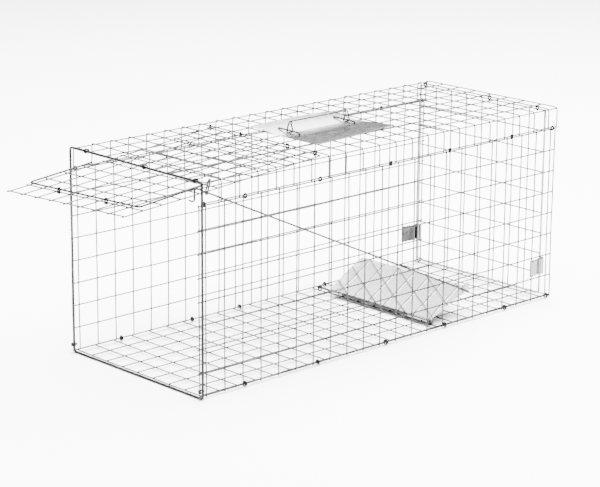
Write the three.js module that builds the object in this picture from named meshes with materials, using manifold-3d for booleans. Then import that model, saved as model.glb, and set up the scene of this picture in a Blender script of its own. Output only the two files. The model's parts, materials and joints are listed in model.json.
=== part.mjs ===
// A live catch trap: a long cage of welded wire mesh with a drop door at its front,
// a treadle on its floor, a trigger rod between the two, and a carrying handle on its roof.
// Millimetres, +Z up. The entrance faces -Y and the trigger rod runs along the +X side.
// Places along the cage are worked out from the roof's front wire, and the finished
// group is then moved so that its origin is the middle of the bottom of its box.
import * as THREE from "three";
import { mergeVertices } from "three/addons/utils/BufferGeometryUtils.js";
import Module from "manifold-3d";

// ---------- Driving dimensions ----------

const meshWire = 2; // thickness of the welded mesh wires
const rodWire = 4; // the front frame's rod
const lightRod = 3; // lock bar, trigger rod and the rods through the handle
const sheet = 0.8; // galvanised sheet
const clearance = 0.3; // least gap between neighbours that do not move

const lengthPitch = 37.6; // mesh pitch along the cage
const fullCells = 21; // whole mesh cells along the roof
const endCell = 22; // the short last cell at the rear
const cageWidth = 312; // between the middles of the two side panels
const cellsWide = 8;
const rowPitch = 37.6; // mesh pitch up the side panels
const sideRows = 8;
const flangeHeight = 33.8; // the roof's turned-down edges
const pairGap = 0.6; // between two parallel wires that rings hold together

const ringWire = 1.8;
const ringRadius = 4.5; // to the middle of the ring's wire
const frameRingRadius = 6;
const cornerRingRadius = 7;
const ringMouth = 0.7; // radians left open in each ring

const doorWidth = 266;
const doorCells = 8;
const doorLength = 411;
const leastEndCell = 0.4; // of a whole cell, the shortest that the cell by the hinge may be
const doorHingeCell = 7; // the roof cross wire that carries the door
const doorRingCells = [-3.82, -1.56, 1.8, 3.73]; // hinge rings, in door cells from the middle
const doorRestAngle = THREE.MathUtils.degToRad(4.9); // below level, when set
const doorTwist = 8; // how much higher the tip's +X corner stands, held by the hook
const doorSkew = 13; // how far the tip's +X corner falls short of its other one
const hingeDrop = 3.6; // from a roof wire down to the wire that hangs under it

const lockLegLength = 128;
const lockInset = 5; // from the door's edges in to the lock bar's legs
const lockLift = 4.2; // from the door's cross wire up to the lock bar
const lockRingRadius = 5.4;
const lockRingCells = [-1.7, 1.6]; // its two rings, in door cells from the middle

const rearWallWidth = 296;
const rearWallRows = 9;
const rearEdgeRod = 3.5;
const rearFloorGap = 2.5;

const treadleWidth = 260;
const treadleLength = 108; // from the pivot to the raised edge
const treadleRestAngle = THREE.MathUtils.degToRad(18.5);
const treadleCell = 14; // the floor cross wire under the pivot
const curlPlay = 0.5; // between the pivot rod and the curl around it
const curlLength = 42; // of each curl, at the two ends of the front edge
const pivotRingPlay = 0.45;

const triggerInset = 7.5; // from the side panel's middle in to the trigger rod
const triggerPinAlong = 90; // from the pivot to the pin, along the treadle
const triggerPinAbove = 10.5; // from the pivot to the pin, square to the treadle
const hookForward = 4.7; // from the front frame out to the trigger rod's front end
const hookBelowRoof = 8.8;
const hookDrop = 22;
const hookPlay = 1; // between the hook's tip and the door's edge
const earHeight = 16;
const earLength = 32;
const earHole = 2.7;
const guideCell = 0.4; // place of the rod's guide loop along the cage

const guardWidth = 156;
const guardLength = 178;
const guardSideways = 15;
const handleCell = 10.2; // middle of the handle along the cage
const handleLength = 132;
const handleRise = 22; // from the roof's middle up to the grip
const handleWire = 2.5;
const handleSideways = 6;
const handleFoot = 15; // how far apart the two feet of an end stand
const stapleReach = 50;
const stapleInset = 2; // from the grip's end in to the rod through its foot

const latchHeight = 29;
const latchStop = 8.5; // how far the stop behind the rear wall reaches in

// ---------- Places worked out from them ----------

const halfWidth = cageWidth / 2;
const roofLength = fullCells * lengthPitch + endCell;
const sideFront = -0.19 * lengthPitch; // the side panels start ahead of the roof
const sideOffset = 0.165 * lengthPitch; // and their wires sit a little behind its wires
const sideRear = roofLength - 4;
const ringFloor = ringRadius + ringWire / 2;
const barFloor = rodWire + clearance + meshWire / 2;
const floorLevel = Math.max(ringFloor, barFloor); // middle of the floor's wires
const sideTop = floorLevel + sideRows * rowPitch;
const flangeBottom = sideTop + meshWire + pairGap;
const roofLevel = flangeBottom + flangeHeight;
const hangLevel = roofLevel - hingeDrop; // wires that hang from the roof on rings
const floorHalf = halfWidth - meshWire - pairGap;
const frameForward = -(meshWire / 2 + 0.5 + rodWire / 2);
const frameHalf = halfWidth + meshWire / 2 + 0.5 + rodWire / 2;
const rearWallY = fullCells * lengthPitch;
const curlRadius = rodWire / 2 + curlPlay + sheet / 2;
const pivotLevel = floorLevel + meshWire / 2 + 2 * clearance + curlRadius + sheet / 2;
const pivotY = treadleCell * lengthPitch;
const pivotPair = pivotLevel + rodWire / 2 - (floorLevel - meshWire / 2); // rod and wire together
const pivotRingX = floorHalf * (1 - 1 / cellsWide); // the middle of the outermost floor cell
const triggerX = halfWidth - triggerInset;

// ---------- Materials ----------

function metal(name, color, roughness, metalness) {
  const material = new THREE.MeshStandardMaterial({ color, roughness, metalness });
  material.name = name;
  return material;
}

const galvanisedWire = metal("galvanised_wire", 0xc3c6c8, 0.38, 0.9);
const galvanisedSheet = metal("galvanised_sheet", 0xb4b7b9, 0.34, 0.9);
const ringSteel = metal("ring_steel", 0x6f7376, 0.42, 0.9);
const pivotSteel = metal("pivot_steel", 0x55585a, 0.5, 0.85);

// ---------- Solids ----------

const wasm = await Module();
wasm.setup();

function toSolid(geometry) {
  const bare = geometry.clone();
  bare.deleteAttribute("normal");
  bare.deleteAttribute("uv");
  const merged = mergeVertices(bare, 1e-4);
  return new wasm.Manifold(
    new wasm.Mesh({
      numProp: 3,
      vertProperties: merged.attributes.position.array,
      triVerts: new Uint32Array(merged.index.array),
    }),
  );
}

function toGeometry(solid) {
  const { vertProperties, triVerts } = solid.getMesh();
  const geometry = new THREE.BufferGeometry();
  geometry.setAttribute("position", new THREE.BufferAttribute(vertProperties, 3));
  geometry.setIndex(new THREE.BufferAttribute(triVerts, 1));
  geometry.computeVertexNormals();
  return geometry;
}

function join(geometries) {
  const whole = geometries.map(toSolid).reduce((sum, piece) => sum.add(piece));
  return toGeometry(whole);
}

function cut(geometry, tools) {
  const left = tools.map(toSolid).reduce((rest, tool) => rest.subtract(tool), toSolid(geometry));
  return toGeometry(left);
}

// Extrudes a flat shape by depth, with the shape's plane in the middle.
function slab(shape, depth) {
  const geometry = new THREE.ExtrudeGeometry(shape, { depth, bevelEnabled: false, curveSegments: 4 });
  return geometry.translate(0, 0, -depth / 2);
}

// Evenly spaced bars between two places, both ends included.
function evenBars(from, to, cells, width = meshWire) {
  return Array.from({ length: cells + 1 }, (_, i) => ({
    at: from + ((to - from) * i) / cells,
    width,
  }));
}

// Bars with one pitch from a first place, then one closing bar.
function pitchedBars(first, pitch, count, last) {
  const bars = Array.from({ length: count }, (_, i) => ({ at: first + i * pitch, width: meshWire }));
  return [...bars, { at: last, width: meshWire }];
}

// Two triangles for a quad whose corners run round it the way it faces.
function quad([a, b, c, d]) {
  return [a, b, c, a, c, d].flat();
}

// A flat grille of crossing bars in one piece. The bars' edges divide the plane into
// squares, which are solid where either one lies inside a bar, and each solid square
// gets a top, a bottom and a wall towards every open neighbour.
function lattice(columns, rows) {
  const edges = (bars) => bars.flatMap(({ at, width }) => [at - width / 2, at + width / 2]);
  const [xs, ys] = [edges(columns), edges(rows)];
  const [low, high] = [-meshWire / 2, meshWire / 2];
  const inside = (i, list) => i >= 0 && i + 1 < list.length;
  const solid = (i, j) => inside(i, xs) && inside(j, ys) && (i % 2 === 0 || j % 2 === 0);
  const faces = [];
  for (let i = 0; i + 1 < xs.length; i++)
    for (let j = 0; j + 1 < ys.length; j++) {
      if (!solid(i, j)) continue;
      const [x0, x1, y0, y1] = [xs[i], xs[i + 1], ys[j], ys[j + 1]];
      const wall = (ax, ay, bx, by) => quad([[ax, ay, low], [bx, by, low], [bx, by, high], [ax, ay, high]]);
      faces.push(quad([[x0, y0, high], [x1, y0, high], [x1, y1, high], [x0, y1, high]]));
      faces.push(quad([[x0, y0, low], [x0, y1, low], [x1, y1, low], [x1, y0, low]]));
      if (!solid(i, j - 1)) faces.push(wall(x0, y0, x1, y0));
      if (!solid(i + 1, j)) faces.push(wall(x1, y0, x1, y1));
      if (!solid(i, j + 1)) faces.push(wall(x1, y1, x0, y1));
      if (!solid(i - 1, j)) faces.push(wall(x0, y1, x0, y0));
    }
  const geometry = new THREE.BufferGeometry();
  geometry.setAttribute("position", new THREE.Float32BufferAttribute(faces.flat(), 3));
  geometry.computeVertexNormals();
  return geometry;
}

// The outline of a bent strip: the middle line moved half a thickness to each side.
function stripShape(points, thickness) {
  const normals = points.slice(1).map((point, i) => {
    const along = point.clone().sub(points[i]).normalize();
    return new THREE.Vector2(-along.y, along.x);
  });
  const offsets = points.map((_, i) => {
    const before = normals[Math.max(i - 1, 0)];
    const after = normals[Math.min(i, normals.length - 1)];
    const mitre = before.clone().add(after).normalize();
    return mitre.multiplyScalar(thickness / 2 / mitre.dot(before));
  });
  const left = points.map((point, i) => point.clone().add(offsets[i]));
  const right = points.map((point, i) => point.clone().sub(offsets[i]));
  return new THREE.Shape([...left, ...right.reverse()]);
}

function arcPoints(x, y, radius, from, to, steps) {
  return Array.from({ length: steps + 1 }, (_, i) => {
    const angle = from + ((to - from) * i) / steps;
    return new THREE.Vector2(x + radius * Math.cos(angle), y + radius * Math.sin(angle));
  });
}

// A square bar through the points, each stretch a box that runs on to the corner's outside.
function bentBar(points, size) {
  const pieces = points.slice(1).map((end, i) => {
    const start = points[i];
    const along = end.clone().sub(start);
    const length = along.length();
    const turn = new THREE.Quaternion().setFromUnitVectors(new THREE.Vector3(0, 1, 0), along.normalize());
    const bar = new THREE.BoxGeometry(size, length + size, size).applyQuaternion(turn);
    const middle = start.clone().add(end).multiplyScalar(0.5);
    return bar.translate(middle.x, middle.y, middle.z);
  });
  return join(pieces);
}

// An open ring of flat wire, drawn out by stretch along its own Y, as squeezed round wires.
function ringGeometry(radius, stretch = 0) {
  const half = ringMouth / 2;
  const lower = arcPoints(0, 0, radius, -Math.PI / 2 + half, 0, 2);
  const upper = arcPoints(0, stretch, radius, 0, Math.PI, 4);
  const back = arcPoints(0, 0, radius, Math.PI, 1.5 * Math.PI - half, 2);
  const middle = stretch > 0 ? [...lower, ...upper, ...back] : [...lower, ...upper.slice(1, -1), ...back];
  return slab(stripShape(middle, ringWire), ringWire);
}

// ---------- Building ----------

const trap = new THREE.Group();

const faceSide = [Math.PI / 2, Math.PI / 2, 0]; // a shape's X to the rear, its Y up
const faceFront = [Math.PI / 2, 0, 0]; // a shape's X to +X, its Y up

function add(parent, name, geometry, material, place = [0, 0, 0], turn = [0, 0, 0]) {
  const mesh = new THREE.Mesh(geometry, material);
  mesh.name = name;
  mesh.position.set(...place);
  mesh.rotation.set(...turn);
  parent.add(mesh);
  return mesh;
}

function pivotGroup(parent, place, turn = [0, 0, 0]) {
  const group = new THREE.Group();
  group.position.set(...place);
  group.rotation.set(...turn);
  parent.add(group);
  return group;
}

function addRoof() {
  const along = pitchedBars(0, lengthPitch, fullCells + 1, roofLength);
  const across = evenBars(-halfWidth, halfWidth, cellsWide);
  add(trap, "roof_panel", lattice(across, along), galvanisedWire, [0, 0, roofLevel]);

  const flangeTop = roofLevel - meshWire - clearance;
  const flangeRows = [
    { at: flangeBottom, width: meshWire },
    { at: flangeTop, width: meshWire },
  ];
  for (const [side, name] of [[-1, "left"], [1, "right"]])
    add(
      trap,
      `roof_flange_${name}`,
      lattice(along, flangeRows),
      galvanisedWire,
      [side * halfWidth, 0, 0],
      faceSide,
    );
}

function addSides() {
  const inner = pitchedBars(sideOffset, lengthPitch, fullCells + 1, sideRear);
  const columns = [{ at: sideFront, width: meshWire }, ...inner];
  const rows = evenBars(floorLevel, sideTop, sideRows);
  for (const [side, name] of [[-1, "left"], [1, "right"]])
    add(
      trap,
      `side_panel_${name}`,
      lattice(columns, rows),
      galvanisedWire,
      [side * halfWidth, 0, 0],
      faceSide,
    );
}

function addFloor() {
  const along = pitchedBars(0, lengthPitch, fullCells + 1, sideRear);
  const across = evenBars(-floorHalf, floorHalf, cellsWide);
  add(trap, "floor_panel", lattice(across, along), galvanisedWire, [0, 0, floorLevel]);
}

// A closed loop of rod around the entrance, standing on the ground.
function addFrontFrame() {
  const half = rodWire / 2;
  const corner = rodWire / 2 + clearance; // tight, so that the side panels pass inside it
  const loop = (offset) => {
    const path = new THREE.Shape();
    const [x, low, high] = [frameHalf + offset, half - offset, roofLevel + offset];
    const radius = corner + offset;
    path.absarc(x - radius, low + radius, radius, -Math.PI / 2, 0);
    path.absarc(x - radius, high - radius, radius, 0, Math.PI / 2);
    path.absarc(-x + radius, high - radius, radius, Math.PI / 2, Math.PI);
    path.absarc(-x + radius, low + radius, radius, Math.PI, 1.5 * Math.PI);
    return path;
  };
  const outline = loop(half);
  outline.holes.push(loop(-half));
  add(trap, "front_frame", slab(outline, rodWire), galvanisedWire, [0, frameForward, 0], faceFront);
}

// Rings in a row along a long joint, each round the two wires that meet there.
function addJointRings(name, cells, x, level, turn) {
  cells.forEach((cell, i) => {
    add(trap, `${name}_${i + 1}`, ringGeometry(ringRadius), ringSteel, [x, cell * lengthPitch, level], turn);
  });
}

function addCageRings() {
  const roofCells = [0.0825, 2.3, 6.5, 10.7, 14.4, 18.5, 21.3];
  const floorCells = [2.3, 6.5, 10.6, 14.4, 18.4, 21.3];
  const farRoofCells = [0.0825, 2.3, 6.5, 12.5, 18.5, 21.3];
  const farFloorCells = [2.4, 6.5, 9.4, 14.8, 21.3];
  const roofJoint = (sideTop + flangeBottom) / 2;
  const floorJoint = (halfWidth + floorHalf) / 2;
  addJointRings("roof_ring_right", roofCells, halfWidth, roofJoint, faceFront);
  addJointRings("roof_ring_left", farRoofCells, -halfWidth, roofJoint, faceFront);
  addJointRings("floor_ring_right", floorCells, floorJoint, floorLevel, faceFront);
  addJointRings("floor_ring_left", farFloorCells, -floorJoint, floorLevel, faceFront);
}

function addFrameRings() {
  const frameInner = frameForward + rodWire / 2;
  const middleY = (frameInner - rodWire + meshWire / 2) / 2;
  [-120, 25, 143].forEach((x, i) => {
    add(
      trap,
      `frame_ring_top_${i + 1}`,
      ringGeometry(frameRingRadius),
      ringSteel,
      [x, middleY, roofLevel],
      faceSide,
    );
  });
  for (const [side, name] of [[-1, "left"], [1, "right"]])
    add(
      trap,
      `frame_ring_bottom_${name}`,
      ringGeometry(cornerRingRadius),
      ringSteel,
      [(side * (frameHalf + halfWidth)) / 2, (frameForward + sideFront) / 2, floorLevel + rowPitch / 4],
    );
}

// Rings that carry a hanging wire under a roof cross wire.
function addHingeRings(name, places, y) {
  places.forEach((x, i) => {
    const middle = roofLevel - hingeDrop / 2;
    add(trap, `${name}_${i + 1}`, ringGeometry(ringRadius), ringSteel, [x, y, middle], faceSide);
  });
}

// Leans the door so that its +X side rises towards the tip, and draws that side in.
function twistDoor(geometry) {
  const place = geometry.attributes.position;
  for (let i = 0; i < place.count; i++) {
    const sideways = place.getX(i) / doorWidth;
    const outward = -place.getY(i) / doorLength;
    place.setZ(i, place.getZ(i) + doorTwist * sideways * outward);
    place.setY(i, place.getY(i) + doorSkew * (sideways + 0.5) * outward);
  }
  geometry.computeVertexNormals();
  return geometry;
}

function addDoor() {
  const hingeY = doorHingeCell * lengthPitch;
  const door = pivotGroup(trap, [0, hingeY, hangLevel], [doorRestAngle, 0, 0]);
  const fullRows = Math.floor(doorLength / lengthPitch - leastEndCell);
  const fromTip = pitchedBars(-doorLength, lengthPitch, fullRows + 1, 0);
  const columns = evenBars(-doorWidth / 2, doorWidth / 2, doorCells);
  add(door, "door_panel", twistDoor(lattice(columns, fromTip)), galvanisedWire);
  const ringPlaces = doorRingCells.map((cell) => (cell * doorWidth) / doorCells);
  addHingeRings("door_hinge_ring", ringPlaces, hingeY);

  const lockAlong = doorLength - lengthPitch;
  const outward = lockAlong / doorLength;
  const lean = Math.atan((doorTwist / doorWidth) * outward);
  const turn = Math.atan((doorSkew / doorWidth) * outward);
  const lock = pivotGroup(door, [0, (doorSkew / 2) * outward - lockAlong, 0], [0, -lean, turn]);
  const reach = doorWidth / 2 - lockInset;
  const bar = bentBar(
    [
      new THREE.Vector3(-reach, lockLegLength, lockLift),
      new THREE.Vector3(-reach, 0, lockLift),
      new THREE.Vector3(reach, 0, lockLift),
      new THREE.Vector3(reach, lockLegLength, lockLift),
    ],
    lightRod,
  );
  add(lock, "door_lock_bar", bar, galvanisedWire);
  ["left", "right"].forEach((name, i) => {
    const x = (lockRingCells[i] * doorWidth) / doorCells;
    const ring = ringGeometry(lockRingRadius);
    add(lock, `lock_bar_ring_${name}`, ring, ringSteel, [x, 0, lockLift / 2], faceSide);
  });
}

function addRearWall() {
  const bottom = floorLevel + meshWire / 2 + rearFloorGap + rearEdgeRod / 2;
  const rows = evenBars(bottom - hangLevel, 0, rearWallRows);
  rows[0].width = rearEdgeRod;
  const half = rearWallWidth / 2;
  const columns = evenBars(-half, half, cellsWide);
  columns[0].width = rearEdgeRod;
  columns.at(-1).width = rearEdgeRod;
  const place = [0, rearWallY, hangLevel];
  add(trap, "rear_wall", lattice(columns, rows), galvanisedWire, place, faceFront);
  addHingeRings("rear_hinge_ring", [-137, 19, 130], rearWallY);
}

// A sheet clip on each side panel: hemmed round an upright wire, then a ramp, a seat for
// the rear wall's edge rod and a stop that turns in behind it.
function addLatches() {
  const wireY = sideOffset + (fullCells - 1) * lengthPitch;
  const around = meshWire / 2 + 2 * clearance + sheet / 2;
  const inside = halfWidth - meshWire / 2 - clearance - sheet / 2;
  const rodHalf = rearEdgeRod / 2;
  const rampTop = rearWallWidth / 2 + rodHalf + sheet;
  const seatFront = rearWallY - meshWire / 2 - 2;
  const stopY = rearWallY + meshWire / 2 + 2 + sheet / 2;
  const profile = [
    [halfWidth + around, wireY + 4],
    [halfWidth + around, wireY - around],
    [inside, wireY - around],
    [inside, seatFront - 14],
    [rampTop, seatFront - 1.5],
    [inside, seatFront],
    [inside, stopY],
    [inside - latchStop, stopY],
  ];
  const middle = floorLevel + 1.5 * rowPitch;
  for (const [side, name] of [[-1, "left"], [1, "right"]]) {
    const points = profile.map(([x, y]) => new THREE.Vector2(side * x, y));
    const clip = slab(stripShape(points, sheet), latchHeight);
    add(trap, `rear_latch_${name}`, clip, galvanisedSheet, [0, 0, middle]);
  }
}

function addTreadle() {
  const rod = new THREE.CylinderGeometry(rodWire / 2, rodWire / 2, 2 * pivotRingX + 14, 12);
  rod.rotateZ(Math.PI / 2);
  add(trap, "treadle_pivot_rod", rod, pivotSteel, [0, pivotY, pivotLevel]);
  const ringMiddle = floorLevel - meshWire / 2 + pivotPair / 2;
  const reach = pivotPair / 2 + pivotRingPlay + ringWire / 2;
  for (const [side, name] of [[-1, "left"], [1, "right"]])
    add(
      trap,
      `pivot_ring_${name}`,
      ringGeometry(reach),
      ringSteel,
      [side * pivotRingX, pivotY, ringMiddle],
      faceSide,
    );

  const treadle = pivotGroup(trap, [0, pivotY, pivotLevel], [treadleRestAngle, 0, 0]);
  const curl = arcPoints(0, 0, curlRadius, 2 * Math.PI - Math.PI / 6, Math.PI / 2, 8);
  const profile = stripShape([...curl, new THREE.Vector2(treadleLength, curlRadius)], sheet);
  const flat = slab(profile, treadleWidth).applyMatrix4(
    new THREE.Matrix4().makeRotationFromEuler(new THREE.Euler(...faceSide)),
  );

  const opening = treadleWidth - 2 * curlLength;
  const notch = new THREE.BoxGeometry(opening, 20, 20).translate(0, rodWire / 2 + 1 - 10, 0);
  const earX = treadleWidth / 2 - sheet / 2;
  const earY = treadleLength - earLength / 2;
  const ear = new THREE.BoxGeometry(sheet, earLength, earHeight - curlRadius);
  ear.translate(earX, earY, (earHeight + curlRadius) / 2);
  const hole = new THREE.CylinderGeometry(earHole, earHole, 4 * sheet, 12);
  hole.rotateZ(Math.PI / 2).translate(earX, triggerPinAlong, triggerPinAbove);
  add(treadle, "treadle_plate", cut(join([flat, ear]), [notch, hole]), galvanisedSheet);
  return treadle.localToWorld(new THREE.Vector3(triggerX, triggerPinAlong, triggerPinAbove));
}

// The rod from the treadle's ear to the door: a pin at its rear end and a hook at its front.
function addTriggerRod(pin) {
  const front = new THREE.Vector3(triggerX, frameForward - hookForward, roofLevel - hookBelowRoof);
  const hookX = doorWidth / 2 + meshWire / 2 + hookPlay + lightRod / 2;
  const rod = bentBar(
    [
      new THREE.Vector3(treadleWidth / 2 - 4, pin.y, pin.z),
      pin,
      front,
      new THREE.Vector3(front.x, front.y, front.z - hookDrop),
      new THREE.Vector3(hookX, front.y, front.z - hookDrop),
    ],
    lightRod,
  );
  add(trap, "trigger_rod", rod, galvanisedWire);

  const guideY = guideCell * lengthPitch;
  const atGuide = pin.z + ((pin.y - guideY) * (front.z - pin.z)) / (pin.y - front.y);
  const across = triggerX - halfWidth;
  const up = atGuide - roofLevel;
  const loop = ringGeometry(ringRadius, Math.hypot(across, up)).rotateZ(-Math.atan2(across, up));
  add(trap, "trigger_rod_guide", loop, galvanisedWire, [halfWidth, guideY, roofLevel], faceFront);
}

function addHandle() {
  const middleY = handleCell * lengthPitch;
  const guardLevel = roofLevel + meshWire / 2 + clearance + sheet / 2;
  const footLevel = guardLevel + sheet / 2 + clearance + handleWire / 2;
  const gripLevel = roofLevel + handleRise;
  const rodLevel = footLevel + handleWire / 2 + clearance + lightRod / 2;
  const half = handleLength / 2;

  const staples = [
    { name: "front", x: 3, y: middleY - half + stapleInset },
    { name: "rear", x: 1, y: middleY + half - stapleInset },
  ];
  const holes = [];
  for (const { name, x, y } of staples) {
    const ends = [x - stapleReach / 2, x + stapleReach / 2];
    const low = roofLevel - 3.5 + lightRod / 2;
    const bar = bentBar(
      [
        new THREE.Vector3(ends[0], y, low),
        new THREE.Vector3(ends[0], y, rodLevel),
        new THREE.Vector3(ends[1], y, rodLevel),
        new THREE.Vector3(ends[1], y, low),
      ],
      lightRod,
    );
    add(trap, `handle_staple_${name}`, bar, pivotSteel);
    const size = lightRod + 2 * clearance;
    for (const end of ends)
      holes.push(new THREE.BoxGeometry(size, size, 4 * sheet).translate(end, y, guardLevel));
  }

  const guard = new THREE.BoxGeometry(guardWidth, guardLength, sheet);
  guard.translate(guardSideways, middleY, guardLevel);
  add(trap, "handle_guard_plate", cut(guard, holes), galvanisedSheet);

  // The handle's middle line, seen from the side: each end is a foot under its rod.
  const inner = gripLevel - handleWire - clearance;
  const profile = [
    [-half + 4, inner],
    [-half + handleFoot / 2 + stapleInset, footLevel],
    [-half - handleFoot / 2 + stapleInset, footLevel],
    [-half, gripLevel],
    [half, gripLevel],
    [half + handleFoot / 2 - stapleInset, footLevel],
    [half - handleFoot / 2 - stapleInset, footLevel],
    [half - 4, inner],
  ];
  const wire = stripShape(
    profile.map(([y, z]) => new THREE.Vector2(y, z)),
    handleWire,
  );
  const place = [handleSideways, middleY, 0];
  add(trap, "carry_handle", slab(wire, handleWire), galvanisedWire, place, faceSide);
}

addRoof();
addSides();
addFloor();
addFrontFrame();
addCageRings();
addFrameRings();
addDoor();
addRearWall();
addLatches();
trap.updateMatrixWorld(true);
addTriggerRod(addTreadle());
addHandle();

trap.updateMatrixWorld(true);
const bounds = new THREE.Box3().setFromObject(trap, true);
trap.position.set(0, -(bounds.min.y + bounds.max.y) / 2, -bounds.min.z);

export default trap;
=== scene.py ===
"""A live catch trap: a long cage of welded wire with a drop door, a lock bar, a treadle and its
trigger rod, a rear wall, and a handle with a guard plate. Metres, +Z up, the entrance at -Y.

Every piece takes its place from the fixed frame, and its surface is worked out here."""

import json
import math

import bpy
import numpy as np
from mathutils import Matrix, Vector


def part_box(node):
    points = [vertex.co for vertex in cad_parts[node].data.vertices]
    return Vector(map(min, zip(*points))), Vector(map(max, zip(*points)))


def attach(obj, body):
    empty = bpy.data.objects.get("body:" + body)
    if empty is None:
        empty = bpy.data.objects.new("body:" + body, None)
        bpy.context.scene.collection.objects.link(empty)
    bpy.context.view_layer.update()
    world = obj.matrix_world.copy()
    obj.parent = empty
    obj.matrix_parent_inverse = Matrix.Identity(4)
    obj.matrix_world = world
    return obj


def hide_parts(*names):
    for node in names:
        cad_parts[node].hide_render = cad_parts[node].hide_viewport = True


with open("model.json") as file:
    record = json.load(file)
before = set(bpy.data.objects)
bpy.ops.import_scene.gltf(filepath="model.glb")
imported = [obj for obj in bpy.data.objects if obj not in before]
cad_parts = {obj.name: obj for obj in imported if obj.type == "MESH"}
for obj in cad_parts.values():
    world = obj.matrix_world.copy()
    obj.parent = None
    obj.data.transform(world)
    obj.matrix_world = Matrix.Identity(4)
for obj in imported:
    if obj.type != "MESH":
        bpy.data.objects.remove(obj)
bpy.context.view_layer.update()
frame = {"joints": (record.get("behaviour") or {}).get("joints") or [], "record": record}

MM = 0.001
X, Y, Z = np.eye(3)
dice = np.random.default_rng(7)

# ---------- Driving sizes ----------

MESH_WIRE = 2.15 * MM  # with its zinc
MESH_PITCH = 37.6 * MM
CELLS = 8  # of mesh across the cage, and up each side
REAR_ROWS = 9  # of mesh up the rear wall
SET_DOWN = 0.3  # how far crossing wires sink into each other at a weld, in wire thicknesses
OVERHANG = 0.9 * MM  # of a wire past the last one that it is welded to
WIRE_SIDES = 10
RING_SIDES = 10
SWAY = 0.16 * MM  # how far drawn wire wanders from straight
WAVES = (0.21, 0.083), (0.17, 0.07)  # metres, of its wandering off the panel, and aside in it
BEAD = 1.6  # of a weld, in wire thicknesses
SHEET = 0.8 * MM
ROD = 4.0 * MM
LIGHT_ROD = 3.0 * MM
EDGE_ROD = 3.5 * MM
LOCK_LIFT = 4.2 * MM  # from the door's cross wire up to the lock bar
LOCK_LEG = 128 * MM
RING_WIRE = 2.6 * MM
HANDLE_WIRE = 2.5 * MM
HOOK_DROP = 22 * MM
HOOK_PLAY = 1.0 * MM  # between the hook's tip and the door's edge
TREADLE_SLOPE = math.radians(18.5)
TREADLE_LENGTH = 108 * MM
TREADLE_TAPER = 24 * MM, 6 * MM  # how far its front corners lie towards +X of its rear ones
CURL_PLAY = 0.5 * MM  # between the pivot rod and the curls round it
RIB_HEIGHT, RIB_HALF = 0.9 * MM, 1.3 * MM
EAR_HEIGHT, EAR_LENGTH, EYELET = 16 * MM, 32 * MM, 3.3 * MM
RIB_PITCH = 35 * MM
RIBS = (((0.5, 0.866), 2 * MM), ((0.974, 0.225), -12 * MM))  # the direction across each set, and its start


# ---------- Surfaces ----------


def middle(node):
    """The middle of a frame node's box."""
    low, high = (np.array(corner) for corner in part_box(node))
    return (low + high) / 2


def corners(node):
    """The lowest and highest corner of a frame node's box."""
    return tuple(np.array(corner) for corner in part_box(node))


def unit(vectors):
    """Each vector divided by its own length."""
    return vectors / np.linalg.norm(vectors, axis=-1, keepdims=True)


def tube_faces(count, sections, sides):
    """For every tube, a quad from each side of a section to the next one, and a face on each end."""
    start = np.arange(count)[:, None, None] * sections * sides
    ring = np.arange(sections - 1)[None, :, None] * sides
    side = np.arange(sides)
    after = (side + 1) % sides
    near, far = start + ring + side, start + ring + after
    quads = np.stack([near, far, far + sides, near + sides], axis=-1).reshape(-1, 4)
    first = start[:, 0] + side[::-1]
    last = start[:, 0] + (sections - 1) * sides + side
    return quads.tolist() + first.tolist() + last.tolist()


def tubes(paths, radius, reference, sides=WIRE_SIDES):
    """Round wires along paths (wire, point, 3). Each section is a circle in the plane square to
    the path, whose zero direction is the reference made square to the path, and the two end
    sections are drawn in for a chamfer."""
    heading = unit(np.gradient(paths, axis=1))
    chamfer = np.minimum(radius * 0.35, 0.0006)
    ends = np.stack([paths[:, 0], paths[:, -1]], axis=1)
    inner = np.stack([ends[:, 0] + heading[:, 0] * chamfer, ends[:, 1] - heading[:, -1] * chamfer], axis=1)
    paths = np.concatenate([ends[:, :1], inner[:, :1], paths[:, 1:-1], inner[:, 1:], ends[:, 1:]], axis=1)
    heading = np.concatenate([heading[:, :1], heading, heading[:, -1:]], axis=1)
    sizes = np.full(paths.shape[:2], radius, float)
    sizes[:, [0, -1]] *= 0.68
    across = np.broadcast_to(np.asarray(reference, float), heading.shape)
    normal = unit(across - (across * heading).sum(-1, keepdims=True) * heading)
    other = np.cross(heading, normal)
    turn = np.arange(sides) * 2 * np.pi / sides
    rim = normal[:, :, None] * np.cos(turn)[:, None] + other[:, :, None] * np.sin(turn)[:, None]
    points = paths[:, :, None] + rim * sizes[:, :, None, None]
    return points.reshape(-1, 3), tube_faces(len(paths), paths.shape[1], sides)


def beads(places, size, sides=6, rows=3):
    """A small ball flattened to size (3) at every place: a grid of latitude and longitude with
    one point at each pole."""
    turn = np.arange(sides) * 2 * np.pi / sides
    rise = (np.arange(rows) + 1) * np.pi / (rows + 1)
    belt = np.stack([np.outer(np.sin(rise), np.cos(turn)), np.outer(np.sin(rise), np.sin(turn)),
                     np.repeat(np.cos(rise)[:, None], sides, axis=1)], axis=-1).reshape(-1, 3)
    ball = np.concatenate([[Z], belt, [-Z]]) * size
    points = (places[:, None] + ball).reshape(-1, 3)
    side = np.arange(sides)
    after = (side + 1) % sides
    top = np.stack([np.zeros_like(side), 1 + side, 1 + after], axis=-1)
    row = np.arange(rows - 1)[:, None] * sides
    belt_faces = np.stack([1 + row + side, 1 + row + sides + side, 1 + row + sides + after, 1 + row + after],
                          axis=-1).reshape(-1, 4)
    last = 1 + (rows - 1) * sides
    bottom = np.stack([last + after, last + side, np.full_like(side, last + sides)], axis=-1)
    start = np.arange(len(places))[:, None, None] * len(ball)
    faces = [(start + part).reshape(-1, part.shape[-1]).tolist() for part in (top, belt_faces, bottom)]
    return points, sum(faces, [])


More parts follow.
